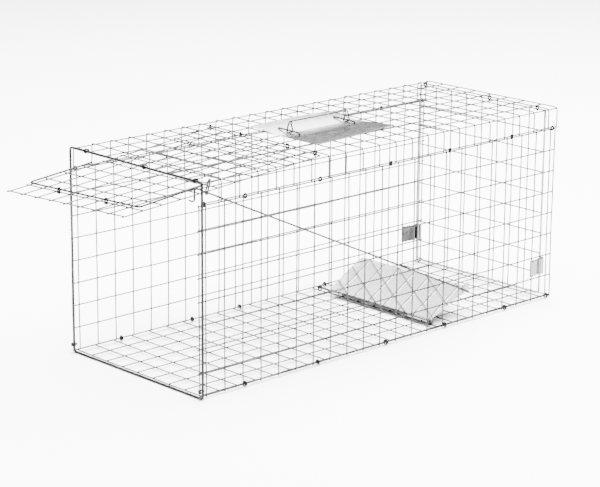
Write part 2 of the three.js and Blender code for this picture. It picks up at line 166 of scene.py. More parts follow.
def sheet_faces(rows, columns):
    """Faces of a sheet's two grids of rows by columns points, the upper one first: quads over
    each, and a rim of quads that joins their edges."""
    grid = np.arange(rows * columns).reshape(rows, columns)
    quads = np.stack([grid[:-1, :-1], grid[1:, :-1], grid[1:, 1:], grid[:-1, 1:]], axis=-1).reshape(-1, 4)
    under = quads[:, ::-1] + rows * columns
    edge = np.concatenate([grid[0, :-1], grid[:-1, -1], grid[-1, :0:-1], grid[:0:-1, 0]])
    after = np.roll(edge, -1)
    lower = rows * columns
    rim = np.stack([edge, after, after + lower, edge + lower], axis=-1)
    return quads.tolist() + under.tolist() + rim.tolist()


def sheet_metal(surface, thickness):
    """A sheet whose middle is a grid of points (row, column, 3): two grids set half a thickness
    out along the surface's own normal, which is the cross product of its two directions."""
    along = np.gradient(surface, axis=0)
    across = np.gradient(surface, axis=1)
    normal = unit(np.cross(along, across))
    both = np.stack([surface + normal * thickness / 2, surface - normal * thickness / 2])
    return both.reshape(-1, 3), sheet_faces(*surface.shape[:2])


def rounded(points, radius, steps=6):
    """A path through the points with each corner rounded by a curve that starts and ends one
    radius from the corner: a weighted mean of the corner and its two neighbours on the path."""
    points = np.asarray(points, float)
    before, corner, after = points[:-2], points[1:-1], points[2:]
    into, out = before - corner, after - corner
    reach = np.minimum(radius, 0.45 * np.minimum(np.linalg.norm(into, axis=-1), np.linalg.norm(out, axis=-1)))
    start = corner + unit(into) * reach[:, None]
    end = corner + unit(out) * reach[:, None]
    t = np.linspace(0, 1, steps)[None, :, None]
    bend = start[:, None] * (1 - t) ** 2 + corner[:, None] * 2 * t * (1 - t) + end[:, None] * t**2
    return np.concatenate([points[:1], bend.reshape(-1, 3), points[-1:]])


def subdivided(path, spacing):
    """The path with points added so that no stretch is longer than the spacing."""
    lengths = np.linalg.norm(np.diff(path, axis=0), axis=-1)
    travelled = np.concatenate([[0], np.cumsum(lengths)])
    counts = np.maximum(np.ceil(lengths / spacing).astype(int), 1)
    wanted = np.concatenate([np.linspace(a, b, n, endpoint=False)
                             for a, b, n in zip(travelled[:-1], travelled[1:], counts)] + [travelled[-1:]])
    return np.stack([np.interp(wanted, travelled, path[:, axis]) for axis in range(3)], axis=-1)


def joined(parts):
    """Several (points, faces) in one, with the material number that each part's faces take."""
    points, faces, materials, start = [], [], [], 0
    for part_points, part_faces, material in parts:
        points.append(part_points)
        faces += [[corner + start for corner in face] for face in part_faces]
        materials += [material] * len(part_faces)
        start += len(part_points)
    return np.concatenate(points), faces, materials


def piece(name, parts, finishes, body, nodes):
    """Makes one object of the parts, which rides on a body and stands for the frame's nodes."""
    points, faces, numbers = joined(parts)
    mesh = bpy.data.meshes.new(name)
    mesh.from_pydata(points.tolist(), [], faces)
    for finish in finishes:
        mesh.materials.append(finish)
    mesh.polygons.foreach_set("material_index", numbers)
    mesh.polygons.foreach_set("use_smooth", np.ones(len(faces), bool))
    mesh.update()
    made = bpy.data.objects.new(name, mesh)
    bpy.context.scene.collection.objects.link(made)
    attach(made, body)
    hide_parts(*nodes)
    return made


# ---------- Finishes ----------


class Value:
    """A socket of a material's nodes. An expression on values adds its Math nodes."""

    def __init__(self, tree, socket=None):
        self.tree, self.socket = tree, socket

    def node(self, kind, settings=(), output=0, **inputs):
        """Adds a node: its settings first, then its inputs, given as name=value or name=link."""
        made = self.tree.nodes.new(kind)
        for name, value in dict(settings).items():
            if name == "stops":
                for stop, (place, shade) in zip(made.color_ramp.elements, value):
                    stop.position, stop.color = place, (shade, shade, shade, 1)
            else:
                setattr(made, name, value)
        for name, value in inputs.items():
            key = int(name[1:]) if name[1:].isdigit() else name.replace("_", " ")
            socket = made.inputs[key]
            if isinstance(value, Value):
                self.tree.links.new(value.socket, socket)
            else:
                socket.default_value = value
        return Value(self.tree, made.outputs[output])

    def math(self, operation, first, second=0.0):
        return self.node("ShaderNodeMath", {"operation": operation}, _0=first, _1=second)

    def __add__(self, other):
        return self.math("ADD", self, other)

    def __sub__(self, other):
        return self.math("SUBTRACT", self, other)

    def __mul__(self, other):
        return self.math("MULTIPLY", self, other)

    def __rsub__(self, other):
        return self.math("SUBTRACT", other, self)

    __radd__, __rmul__ = __add__, __mul__

    def blend(self, first, second):
        """A colour from first to second as this value goes from 0 to 1."""
        return self.node("ShaderNodeMix", {"data_type": "RGBA"}, output=2, _0=self, _6=first, _7=second)

    def stepped(self, low, high):
        """0 below low, 1 above high, and a straight rise between them."""
        return self.node("ShaderNodeMapRange", {"clamp": True}, Value=self, From_Min=low, From_Max=high)


def finish(name, metallic, build):
    """A material whose nodes build(place, feed) adds; feed links a value to a shader's socket."""
    material = bpy.data.materials.new(name)
    material.use_nodes = True
    tree = material.node_tree
    shader = tree.nodes["Principled BSDF"]
    shader.inputs["Metallic"].default_value = metallic
    start = Value(tree)
    place = start.node("ShaderNodeTexCoord", output=3)

    def feed(socket, value):
        tree.links.new(value.socket, shader.inputs[socket])

    build(place, feed)
    return material


def noise(place, scale, detail=2.0, stretch=(1, 1, 1)):
    """Noise on the piece's own place, at scale per metre, drawn out by stretch."""
    laid = place.node("ShaderNodeMapping", Vector=place, Scale=stretch)
    return laid.node("ShaderNodeTexNoise", Vector=laid, Scale=scale, Detail=detail)


def bumped(feed, height, strength, depth):
    """Raises the surface's look by a height from 0 to 1, over a depth in metres."""
    feed("Normal", height.node("ShaderNodeBump", Height=height, Strength=strength, Distance=depth))


def joint(name):
    """A joint's place in metres and its unit axis."""
    found = next(row for row in frame["joints"] if row["name"] == name)
    return np.array(found["pos_m"], float), unit(np.array(found["axis"], float))


def zinc(bright, dull):
    """Drawn wire with a thin zinc coat: cloudy bright and dull lengths, and fine zinc grain."""
    def build(place, feed):
        cloud = noise(place, 22, 3)
        grain = noise(place, 700, 2)
        share = cloud.stepped(0.38, 0.64)
        feed("Base Color", share.blend((bright, bright, bright * 1.02, 1), (dull, dull, dull * 1.03, 1)))
        feed("Roughness", share * 0.16 + grain * 0.12 + 0.22)
        bumped(feed, cloud * 0.6 + grain * 0.4, 0.35, 0.00025)
    return build


def weld_scale(place, feed):
    """The pressed crossings: zinc burnt off to a dull, darker and rough grey."""
    mottle = noise(place, 420, 3)
    feed("Base Color", mottle.stepped(0.35, 0.65).blend((0.03, 0.03, 0.03, 1), (0.008, 0.008, 0.008, 1)))
    feed("Roughness", mottle * 0.3 + 0.38)
    bumped(feed, mottle, 0.6, 0.0003)


def spangled(bright, dull, painted_rib_shade=False, painted_shade_x=None):
    """Galvanised sheet: zinc crystals of a few millimetres, each with its own tone and gloss,
    a fine grain along the rolling direction, and small dull marks. The second last argument
    adds painted shade: a dark line along the foot of each of the treadle's pressed ribs, where
    shade falls. Beyond the x that the last argument gives, the colour is painted darker, as
    painted shade for the sheet's +X side."""
    def build(place, feed):
        crystals = place.node("ShaderNodeTexVoronoi", {"feature": "F1"}, output=1, Vector=place, Scale=150.0)
        tone = crystals.node("ShaderNodeSeparateColor", Color=crystals)
        rolling = noise(place, 60, 4, (1, 14, 1))
        marks = noise(place, 35, 5).stepped(0.56, 0.72)
        shade = tone * 0.45 + rolling * 0.35 + marks * 0.5
        colour = shade.stepped(0.1, 1.1).blend((bright, bright, bright, 1), (dull, dull, dull * 1.02, 1))
        if painted_rib_shade:
            # painted shade: a near-black line along the foot of each rib
            line = rib_painted_shade(place)
            colour = line.blend(colour, (0.02, 0.02, 0.02, 1))
        if painted_shade_x is not None:
            # painted shade: beyond the given x the colour fades to dark grey, standing for the dull look that
            # the light gives this side
            beyond = place.node("ShaderNodeSeparateXYZ", output=0, Vector=place) + shade * (6 * MM)
            past = beyond.stepped(painted_shade_x + 6 * MM, painted_shade_x + 30 * MM)
            colour = past.blend(colour, (0.055, 0.055, 0.056, 1))
        feed("Base Color", colour)
        feed("Roughness", tone * 0.08 + rolling * 0.08 + marks * 0.1 + 0.16)
        bumped(feed, tone * 0.35 + rolling * 0.65, 0.12, 0.0002)
    return build


def rib_painted_shade(place):
    """How much painted shade the treadle takes at a place: 1 along the foot of a rib, where
    shade falls, and 0 away from it. The distance to the nearest rib of a set goes up and down by
    turns, by half a pitch each."""
    pivot, _ = joint("treadle_hinge")
    across = place.node("ShaderNodeSeparateXYZ", output=0, Vector=place)
    level = place.node("ShaderNodeSeparateXYZ", output=1, Vector=place) - float(pivot[1])
    up = level * (1 / math.cos(TREADLE_SLOPE))
    nearest = []
    for (first, second), start in RIBS:
        along = across * first + up * second - start
        nearest.append(along.math("PINGPONG", along, RIB_PITCH / 2))
    # noise that makes the edge of the painted rib shade ragged
    shade_edge_noise = noise(place, 45, 3) * 0.0016
    least = nearest[0].math("MINIMUM", nearest[0], nearest[1])
    return 1.0 - (least + shade_edge_noise).stepped(0.0014, 0.0026)


def ring_steel(place, feed):
    """Hog ring wire: dark and smooth, scuffed lighter where the pliers closed it."""
    scuff = noise(place, 260, 3).stepped(0.55, 0.7)
    feed("Base Color", scuff.blend((0.006, 0.006, 0.007, 1), (0.04, 0.04, 0.042, 1)))
    feed("Roughness", scuff * 0.2 + 0.32)
    bumped(feed, scuff, 0.3, 0.0002)


def bare_steel(place, feed):
    """Plain dark rod with mill scale, and a brown bloom where it has begun to rust."""
    scale_noise = noise(place, 160, 4)
    rust = noise(place, 75, 4).stepped(0.64, 0.8)
    dark = scale_noise.stepped(0.35, 0.65).blend((0.025, 0.025, 0.026, 1), (0.06, 0.06, 0.062, 1))
    feed("Base Color", rust.blend(dark, (0.05, 0.035, 0.026, 1)))
    feed("Roughness", scale_noise * 0.2 + rust * 0.25 + 0.34)
    bumped(feed, scale_noise, 0.4, 0.0002)


GALVANISED = finish("galvanised_wire_finish", 1.0, zinc(0.045, 0.02))
BRIGHT_ROD = finish("bright_rod_finish", 1.0, zinc(0.30, 0.16))
DULL_ROD = finish("galvanised_rod_finish", 1.0, zinc(0.022, 0.012))
WELD = finish("weld_finish", 0.85, weld_scale)
# the guard's +X side takes painted shade, from about x = 6 mm outwards
GUARD_SHEET = finish("guard_sheet_finish", 1.0, spangled(0.72, 0.5, painted_shade_x=6 * MM))
TREADLE_SHEET = finish("treadle_sheet_finish", 1.0, spangled(0.36, 0.27, painted_rib_shade=True))
LATCH_SHEET = finish("latch_sheet_finish", 1.0, spangled(0.20, 0.12))
SHADED_SHEET = finish("shaded_sheet_finish", 1.0, spangled(0.06, 0.02))
RING = finish("hog_ring_finish", 0.9, ring_steel)
BARE = finish("plain_rod_finish", 0.9, bare_steel)


# ---------- Welded mesh ----------


def pitched(first, last, pitch=MESH_PITCH, least=0.25):
    """Places from first at one pitch, then last; the closing cell is at least that share of one."""
    whole = int((last - first) / pitch - least)
    return np.append(first + np.arange(whole + 1) * pitch, last)


def wander(count, travelled):
    """How far each wire is off the panel and aside: a slow wave and a shorter, weaker one of its
    own for each, along the distance travelled on it."""
    phases = dice.uniform(0, 2 * np.pi, (4, count, 1))
    lift, side = (np.sin(travelled * 2 * np.pi / long + phases[i])
                  + 0.5 * np.sin(travelled * 2 * np.pi / short + phases[i + 1])
                  for i, (long, short) in zip((0, 2), WAVES))
    return SWAY * lift, SWAY * side


def wire_run(fixed, ends, layer, place, flip, spacing, normal, radius):
    """Wires at the fixed places, each from ends[0] to ends[1] and set off the panel's middle by
    layer. place(u, v, n) turns panel places into points, and flip says that the wires run on v."""
    travelled = np.linspace(*ends, max(int((ends[1] - ends[0]) / spacing), 2) + 1)
    lift, side = wander(len(fixed), travelled)
    run = np.broadcast_to(travelled, lift.shape)
    beside = fixed[:, None] + side
    u, v = (beside, run) if flip else (run, beside)
    return tubes(place(u, v, layer + lift), radius, normal)


def welds(us, vs, place, layer):
    """A bead of scale at every crossing."""
    u, v = (grid.ravel() for grid in np.meshgrid(us, vs, indexing="ij"))
    places = place(u, v, np.full(u.shape, layer))
    return beads(places, np.full(3, BEAD) * MESH_WIRE / 2)


def welded_panel(us, vs, place, layers, normal, spacing=MESH_PITCH / 2):
    """The two layers of a panel and its welds. Wires run along u at each of vs, and along v at
    each of us; layers are how far each layer stands off the panel's middle."""
    radius = MESH_WIRE / 2
    u_ends = (us[0] - OVERHANG - radius, us[-1] + OVERHANG + radius)
    v_ends = (vs[0] - OVERHANG - radius, vs[-1] + OVERHANG + radius)
    return [
        (*wire_run(vs, u_ends, layers[0], place, False, spacing, normal, radius), 0),
        (*wire_run(us, v_ends, layers[1], place, True, spacing, normal, radius), 0),
        (*welds(us, vs, place, sum(layers) / 2), 1),
    ]


APART = MESH_WIRE * (1 - SET_DOWN)


def make_roof():
    """The roof is one bent panel: u runs up one flange, over the top and down the other, so a
    place is straight above it, or on a quarter turn of the bend, or beside it on a flange."""
    low, high = corners("roof_panel")
    bottom = corners("roof_flange_left")[0][2] + MESH_WIRE / 2
    level = (low[2] + high[2]) / 2
    half = high[0] - MESH_WIRE / 2
    bend = 3.2 * MM
    flat, arc = half - bend, bend * math.pi / 2
    edge = flat + arc / 2
    foot = flat + arc + (level - bend - bottom)

    def place(u, v, n):
        out, side = np.abs(u), np.sign(u)
        turn = np.clip((out - flat) / arc, 0, 1) * math.pi / 2
        drop = np.maximum(out - flat - arc, 0)
        x = np.minimum(out, flat) + (bend + n) * np.sin(turn)
        z = level - bend + (bend + n) * np.cos(turn) - drop
        splay = drop * 0.03 * (side < 0)
        dip = 0.9 * MM * np.sin(v * 5.1 + 0.6) * np.cos(np.clip(u / half, -1, 1) * math.pi / 2)
        return np.stack([side * (x + splay), v, z + dip * (drop == 0)], axis=-1)

    top = np.linspace(-half, half, CELLS + 1)
    top[[0, -1]] = -edge, edge
    us = np.concatenate([[-foot], top, [foot]])
    vs = pitched(low[1] + MESH_WIRE / 2, high[1] - MESH_WIRE / 2)
    layers = (0.3 * MM, 0.3 * MM - APART)
    parts = welded_panel(us, vs, place, layers, (0.3, 0.2, 1.0), spacing=6 * MM)
    ends = (vs[0] - 2 * MM, vs[-1] + 2 * MM)
    parts[1] = (*wire_run(us, ends, layers[1], place, True, MESH_PITCH / 2, Z, MESH_WIRE / 2), 0)
    nodes = ["roof_panel", "roof_flange_left", "roof_flange_right"]
    piece("roof_mesh", parts, [GALVANISED, WELD], "cage", nodes)


def make_side(name, side):
    """A flat upright panel: u runs along the cage and v up it, with the uprights outside."""
    low, high = corners(f"side_panel_{name}")
    radius = MESH_WIRE / 2
    front = low[1] + radius
    second = front + 0.355 * MESH_PITCH
    us = np.concatenate([[front], pitched(second, high[1] - radius)])
    vs = np.linspace(low[2] + radius, high[2] - radius, CELLS + 1)
    centre = (low[0] + high[0]) / 2

    def place(u, v, n):
        share = np.clip((v - vs[0]) / (vs[-1] - vs[0]), 0, 1)
        bow = 1.1 * MM * np.sin(share * math.pi) * np.sin(u * 6.0 + 1.1 * side)
        return np.stack([centre + side * (n + bow), u, v], axis=-1)

    parts = welded_panel(us, vs, place, (-APART / 2, APART / 2), X)
    piece(f"side_mesh_{name}", parts, [GALVANISED, WELD], "cage", [f"side_panel_{name}"])


def make_floor():
    """A flat panel: u runs across the cage and v along it, with the cross wires underneath."""
    low, high = corners("floor_panel")
    radius = MESH_WIRE / 2
    us = np.linspace(low[0] + radius, high[0] - radius, CELLS + 1)
    vs = pitched(low[1] + radius, high[1] - radius)
    level = (low[2] + high[2]) / 2

    def place(u, v, n):
        sag = 0.8 * MM * np.cos(u / high[0] * math.pi / 2) * np.sin(v * 7.3 + 0.4)
        return np.stack([u, v, level + n + sag], axis=-1)

    parts = welded_panel(us, vs, place, (-APART / 2, APART / 2), Z)
    piece("floor_mesh", parts, [GALVANISED, WELD], "cage", ["floor_panel"])


def door_slope():
    """The door's slope below level, and how far along it the lock bar's rod stands over it."""
    hinge, _ = joint("door_hinge")
    pin, _ = joint("lock_bar_hinge")
    reach = math.hypot(hinge[1] - pin[1], hinge[2] - pin[2])
    slope = math.atan2(hinge[2] - pin[2], hinge[1] - pin[1]) + math.asin(LOCK_LIFT / reach)
    return slope, math.sqrt(reach**2 - LOCK_LIFT**2)


def make_door():
    """The door hangs from its hinge wire and slopes down to its tip: v runs out from the hinge
    along the slope. The tip's +X corner stands higher by a twist that grows with u times v, and
    falls short by a skew that grows with v and with the distance from the -X edge."""
    low, high = corners("door_panel")
    hinge, _ = joint("door_hinge")
    _, lock_axis = joint("lock_bar_hinge")
    slope, outward = door_slope()
    back = np.array([0, math.cos(slope), math.sin(slope)])
    half = high[0] - MESH_WIRE / 2
    length = (hinge[1] - low[1] - MESH_WIRE / 2) / math.cos(slope)
    lean = (lock_axis[2] * math.cos(slope) - lock_axis[1] * math.sin(slope)) / lock_axis[0] / outward
    skew = (lock_axis @ back) / lock_axis[0] / outward
    us = np.linspace(-half, half, CELLS + 1)
    vs = np.append(0.0, length - pitched(0, length)[-2::-1])

    def place(u, v, n):
        up = n + u * v * lean
        up = up - 1.5 * MM * np.sin(np.clip(v / length, 0, 1) * math.pi) * np.cos(u / half * 1.3)
        v = v * (1 - skew * (u + half))
        y = hinge[1] - v * math.cos(slope) - up * math.sin(slope)
        z = hinge[2] - v * math.sin(slope) + up * math.cos(slope)
        return np.stack([u, y, z], axis=-1)

    parts = welded_panel(us, vs, place, (0.0, -APART), (0, 0.15, 1))
    piece("door_mesh", parts, [GALVANISED, WELD], "door", ["door_panel"])


def make_rear_wall():
    """An upright panel inside a thick rod, which is bent round its two sides and its bottom."""
    low, high = corners("rear_wall")
    level = (low[1] + high[1]) / 2
    side, radius = high[0] - EDGE_ROD / 2, MESH_WIRE / 2
    bottom, top = low[2] + EDGE_ROD / 2, high[2] - radius
    us = np.linspace(-side, side, CELLS + 1)
    vs = np.linspace(bottom, top, REAR_ROWS + 1)

    def place(u, v, n):
        bow = 0.9 * MM * np.sin((v - bottom) / (top - bottom) * math.pi) * np.cos(u / side * math.pi / 2)
        return np.stack([u, level + n + bow, v], axis=-1)

    rows = wire_run(vs[1:], (-side, side), 0.0, place, False, MESH_PITCH / 2, Y, radius)
    columns = wire_run(us[1:-1], (bottom, top), APART, place, True, MESH_PITCH / 2, Y, radius)
    crossings = welds(us[1:-1], vs[1:], place, APART / 2)
    turns = [[-side, level, top], [-side, level, bottom], [side, level, bottom], [side, level, top]]
    edge = rounded(turns, 7 * MM)
    rim = tubes(subdivided(edge, 20 * MM)[None], EDGE_ROD / 2, Y, 14)
    ends = place(np.repeat([-side, side], REAR_ROWS), np.tile(vs[1:], 2), np.zeros(2 * REAR_ROWS))
    toes = beads(ends, np.full(3, 2.0 * MM))
    parts = [(*rows, 0), (*columns, 0), (*crossings, 1), (*rim, 2), (*toes, 1)]
    finishes = [GALVANISED, WELD, BRIGHT_ROD]
    piece("rear_wall_mesh", parts, finishes, "rear_wall", ["rear_wall"])


# ---------- Rods ----------


def rod_piece(name, path, thickness, reference, finishes, body, node, sides=16, extra=()):
    """A single rod along a path, with any extra parts."""
    parts = [(*tubes(subdivided(path, 12 * MM)[None], thickness / 2, reference, sides), 0), *extra]
    return piece(name, parts, finishes, body, [node])


def make_front_frame():
    """A loop of rod round the entrance, its ends butt welded under the middle of the top."""
    low, high = corners("front_frame")
    radius = ROD / 2
    y = (low[1] + high[1]) / 2
    x, bottom, top = high[0] - radius, low[2] + radius, high[2] - radius
    seam = 0.062
    loop = [[seam, y, top], [x, y, top], [x, y, bottom], [-x, y, bottom], [-x, y, top], [seam, y, top]]
    path = subdivided(rounded(loop, 5 * MM), 25 * MM)
    weld = beads(np.array([[seam, y, top]]), np.array([2.2, 1.22, 1.22]) * radius, 12, 7)
    parts = [(*tubes(path[None], radius, Y, 16), 0), (*weld, 1)]
    piece("front_frame_rod", parts, [DULL_ROD, WELD], "cage", ["front_frame"])


def make_lock_bar():
    """A U of rod that lies on the door: its cross rod turns in two rings, and its legs run back
    towards the hinge along the door's edges."""
    low, high = corners("door_lock_bar")
    pin, axis = joint("lock_bar_hinge")
    slope, _ = door_slope()
    up = unit(np.cross(axis, [0, math.cos(slope), math.sin(slope)]))
    leg = np.cross(up, axis) * LOCK_LEG
    reach = axis * (high[0] - low[0] - LIGHT_ROD - abs(leg[0])) / 2 / axis[0]
    path = rounded([pin - reach + leg, pin - reach, pin + reach, pin + reach + leg], 8 * MM)
    rod_piece("lock_bar_rod", path, LIGHT_ROD, up, [DULL_ROD], "lock_bar", "door_lock_bar")


def make_trigger_rod():
    """From a pin through the treadle's ear, straight up to the roof's front corner, then a hook
    that drops and turns in towards the door's edge."""
    low, high = corners("trigger_rod")
    pin, _ = joint("trigger_rod_pin")
    radius = LIGHT_ROD / 2
    x = high[0] - radius
    front = np.array([x, low[1] + radius, high[2] - radius])
    foot = front - Z * HOOK_DROP
    tip = corners("door_panel")[1][0] + HOOK_PLAY
    points = [[low[0], pin[1], pin[2]], [x, pin[1], pin[2]], front, foot, [tip, *foot[1:]]]
    path = rounded(points, 6 * MM, 8)
    rod_piece("trigger_rod_wire", path, LIGHT_ROD, (1, 1, 1), [GALVANISED], "trigger_rod", "trigger_rod")


def make_pivot_rod():
    """A straight rod across the floor under the treadle's front edge."""
    low, high = corners("treadle_pivot_rod")
    centre = (low + high) / 2
    path = np.array([[low[0], *centre[1:]], [high[0], *centre[1:]]])
    rod_piece("pivot_rod", path, ROD, Z, [BARE], "cage", "treadle_pivot_rod")


def make_staple(name):
    """A U of rod over the handle's foot, whose legs go down through the guard and turn in under
    the roof's wires."""
    low, high = corners(f"handle_staple_{name}")
    radius = LIGHT_ROD / 2
    y, top, bottom = (low[1] + high[1]) / 2, high[2] - radius, low[2]
    left, right = low[0] + radius, high[0] - radius
    tuck = 9 * MM
    points = [[left + tuck, y, bottom - 1 * MM], [left, y, bottom], [left, y, top], [right, y, top],
              [right, y, bottom], [right - tuck, y, bottom - 1 * MM]]
    rod_piece(f"handle_staple_{name}_rod", rounded(points, 2.6 * MM), LIGHT_ROD, Y, [BARE], "cage",
              f"handle_staple_{name}")


def make_handle():
    """A wire grip whose two ends drop to a short foot and come back up to the grip."""
    low, high = corners("carry_handle")
    radius = HANDLE_WIRE / 2
    x, top, foot = (low[0] + high[0]) / 2, high[2] - radius, low[2] + radius
    middle_y = (low[1] + high[1]) / 2
    outer = high[1] - middle_y - radius
    half = outer - 5.5 * MM
    inner = half - 9.5 * MM
    end = [[inner, foot], [outer, foot], [half, top]]
    tail = [[half - 4 * MM, top - HANDLE_WIRE - 0.1 * MM]]
    one = [[x, middle_y - y, z] for y, z in tail + end]
    other = [[x, middle_y + y, z] for y, z in reversed(tail + end)]
    path = rounded(one + other, 4.5 * MM, 7)
    weld = beads(np.array([[x, middle_y + s * (half - 5 * MM), top - HANDLE_WIRE / 2] for s in (-1, 1)]),
                 np.array([1.2, 2.4, 1.2]) * MM, 10, 5)
    rod_piece("carry_handle_wire", path, HANDLE_WIRE, X, [GALVANISED, WELD], "cage", "carry_handle",
              extra=[(*weld, 1)])


# ---------- Rings ----------


def ring_path(centre, axis, mouth, sizes, overlap, stretch=0.0, steps=34):
    """A ring closed past itself: an oval round the axis, its half lengths towards the mouth and
    across it given by sizes. Its two ends slip past each other by one wire along the axis, and
    stretch draws it out away from the mouth."""
    across = unit(np.cross(axis, mouth))
    angle = np.linspace(-overlap / 2, 2 * math.pi + overlap / 2, steps)[:, None]
    slip = (angle / math.pi - 1) * RING_WIRE * 0.52
    away = -mouth * stretch * (np.cos(angle) < 0)
    oval = mouth * sizes[0] * np.cos(angle) + across * sizes[1] * np.sin(angle)
    return centre + oval + axis * slip + away


# For each set of rings: the direction in which its two wires lie side by side, and the half
# lengths along it and across it, in millimetres, that close the ring on them.
RINGS = {
    "roof_ring": (Z, 3.3, 2.1),
    "floor_ring": (X, 3.3, 3.4),
    "frame_ring_top": (Y, 4.3, 3.1),
    "frame_ring_bottom": (Y, 4.6, 3.6),
    "door_hinge_ring": (Z, 3.9, 2.2),
    "rear_hinge_ring": (Z, 3.9, 2.2),
    "lock_bar_ring": (Z, 4.4, 2.6),
    "pivot_ring": (Z, 4.7, 3.2),
}


def make_ring(node, body):
    """One hog ring, turned a little differently each time."""
    low, high = corners(node)
    axis = np.eye(3)[np.argmin(high - low)]
    beside, length, width = next(row for kind, row in RINGS.items() if node.startswith(kind))
    lean = unit(axis + dice.uniform(-0.12, 0.12, 3))
    turned = beside * dice.choice([-1, 1]) + np.cross(lean, beside) * dice.uniform(-0.12, 0.12)
    mouth = unit(turned - lean * (turned @ lean))
    path = ring_path((low + high) / 2, lean, mouth, (length * MM, width * MM), 2.0)
    parts = [(*tubes(path[None], RING_WIRE / 2, lean, RING_SIDES), 0)]
    piece(f"{node}_wire", parts, [RING], body, [node])


def make_guide():
    """A loop that hangs the trigger rod from the wire along the roof's edge."""
    low, high = corners("trigger_rod_guide")
    pin, _ = joint("trigger_rod_pin")
    rod_low, rod_high = corners("trigger_rod")
    share = (pin[1] - (low[1] + high[1]) / 2) / (pin[1] - rod_low[1])
    bottom = np.array([rod_high[0] - LIGHT_ROD / 2, (low[1] + high[1]) / 2,
                       pin[2] + (rod_high[2] - LIGHT_ROD / 2 - pin[2]) * share])
    roof = corners("roof_panel")[1]
    top = np.array([roof[0] - 1.9 * MM, bottom[1], roof[2] - 1.9 * MM])
    rise = top - bottom
    path = ring_path(top, Y, unit(rise), (2.8 * MM, 2.8 * MM), 0.4, np.linalg.norm(rise))
    parts = [(*tubes(path[None], RING_WIRE / 2, Y, RING_SIDES), 0)]
    piece("trigger_rod_guide_wire", parts, [GALVANISED], "cage", ["trigger_rod_guide"])


# ---------- Sheet metal ----------


def make_treadle():
    """A sheet on a slope, u across it and v up it from the pivot, and laid the x that u comes to
    where the sheet tapers. Two sets of slanting ribs stand up from it as rounded ridges, it is
    dished a little, its front edge curls down round the pivot rod, and an ear with an eyelet for
    the trigger rod stands on its +X edge."""
    half = corners("treadle_plate")[1][0]
    pivot, _ = joint("treadle_hinge")
    pin, _ = joint("trigger_rod_pin")
    slope, length = TREADLE_SLOPE, TREADLE_LENGTH
    curl = ROD / 2 + CURL_PLAY + SHEET / 2
    along = np.array([0, math.cos(slope), math.sin(slope)])
    up = np.array([0, -math.sin(slope), math.cos(slope)])
    columns = np.linspace(-half, half, 261)
    rows = np.linspace(0, length, 101)
    u, v = np.meshgrid(columns, rows)
    left, right = ((half - u) / (2 * half)) ** 2, ((half + u) / (2 * half)) ** 2
    laid = u + (1 - v / length) ** 1.5 * (TREADLE_TAPER[0] * left + TREADLE_TAPER[1] * right)
    height = np.zeros_like(u)
    for (first, second), start in RIBS:
        away = (laid * first + v * second - start + RIB_PITCH / 2) % RIB_PITCH - RIB_PITCH / 2
        height = np.maximum(height, np.exp(-((away / RIB_HALF) ** 2)))
    border, run_out = 5 * MM, 3 * MM
    fade = np.clip((half - border - np.abs(u)) / run_out, 0, 1)
    fade *= np.clip((length - border - v) / run_out, 0, 1) * np.clip((v - border) / run_out, 0, 1)
    dish = -1.2 * MM * np.cos(u / half * math.pi / 2) * np.sin(v / length * math.pi)
    lift = curl + height * fade * RIB_HEIGHT + dish
    surface = pivot + laid[..., None] * X + v[..., None] * along + lift[..., None] * up
    plate = sheet_metal(np.swapaxes(surface, 0, 1), SHEET)

    def curled(start, end):
        turn = np.linspace(math.radians(90), math.radians(332), 22)[:, None]
        across = np.linspace(start, end, 12)[None, :]
        bend = curl * (np.cos(turn)[..., None] * along + np.sin(turn)[..., None] * up)
        return sheet_metal(pivot + across[..., None] * X + bend, SHEET)

    front_left, front_right = -half + TREADLE_TAPER[0], half + 5 * MM
    curls = [curled(front_left, front_left + 30 * MM), curled(front_right - 55 * MM, front_right)]
    ear_v, ear_up = np.linspace(length - EAR_LENGTH, length, 12), np.linspace(curl, EAR_HEIGHT, 8)
    grid_v, grid_up = np.meshgrid(ear_v, ear_up, indexing="ij")
    inset = half - SHEET / 2
    ear = pivot + inset * X + grid_v[..., None] * along + grid_up[..., None] * up
    eyelet_turn = np.linspace(0, 2 * math.pi, 25)
    hole = pin * [0, 1, 1] + inset * X
    eyelet = hole + EYELET * (np.cos(eyelet_turn)[:, None] * along + np.sin(eyelet_turn)[:, None] * up)
    parts = [(*plate, 0), *[(*part, 0) for part in curls], (*sheet_metal(ear, SHEET), 0),
             (*tubes(eyelet[None], 0.9 * MM, X, 8), 0)]
    piece("treadle_sheet", parts, [TREADLE_SHEET], "treadle", ["treadle_plate"])


def make_guard():
    """A plate under the handle. The staples hold its middle down, so z rises from the handle's
    line to both long edges as a rounded V, more towards the rear on the +X side, and a hem is
    folded under each long edge."""
    low, high = corners("handle_guard_plate")
    handle = middle("carry_handle")[0]
    x = np.linspace(low[0], high[0], 101)
    y = np.linspace(low[1], high[1], 60)
    grid_x, grid_y = np.meshgrid(x, y, indexing="ij")
    near = np.maximum(grid_x - handle, 0) / (high[0] - handle)
    far = np.maximum(handle - grid_x, 0) / (handle - low[0])
    along = (grid_y - low[1]) / (high[1] - low[1])
    ends = 2 * along - 1
    near_rise = near * (0.5 + 6.0 * along**1.5)
    far_rise = (np.sqrt(far**2 + 0.0025) - 0.05) * 6.0 * (1 - 0.25 * ends**2) + 1.2 * np.sin(far * math.pi)
    z = low[2] + SHEET / 2 + (near_rise + far_rise) * MM
    plate = sheet_metal(np.stack([grid_x, grid_y, z], axis=-1), SHEET)
    hems = []
    for column in (0, -1):
        sign = -1 if column == 0 else 1
        edge = np.stack([grid_x[column], grid_y[column], z[column] - SHEET * 0.6], axis=-1)
        path = edge - X * sign * SHEET * 0.3
        hems.append((*tubes(path[None], SHEET * 0.95, Z, 10), 0))
    parts = [(*plate, 0), *hems]
    piece("handle_guard", parts, [GUARD_SHEET], "cage", ["handle_guard_plate"])


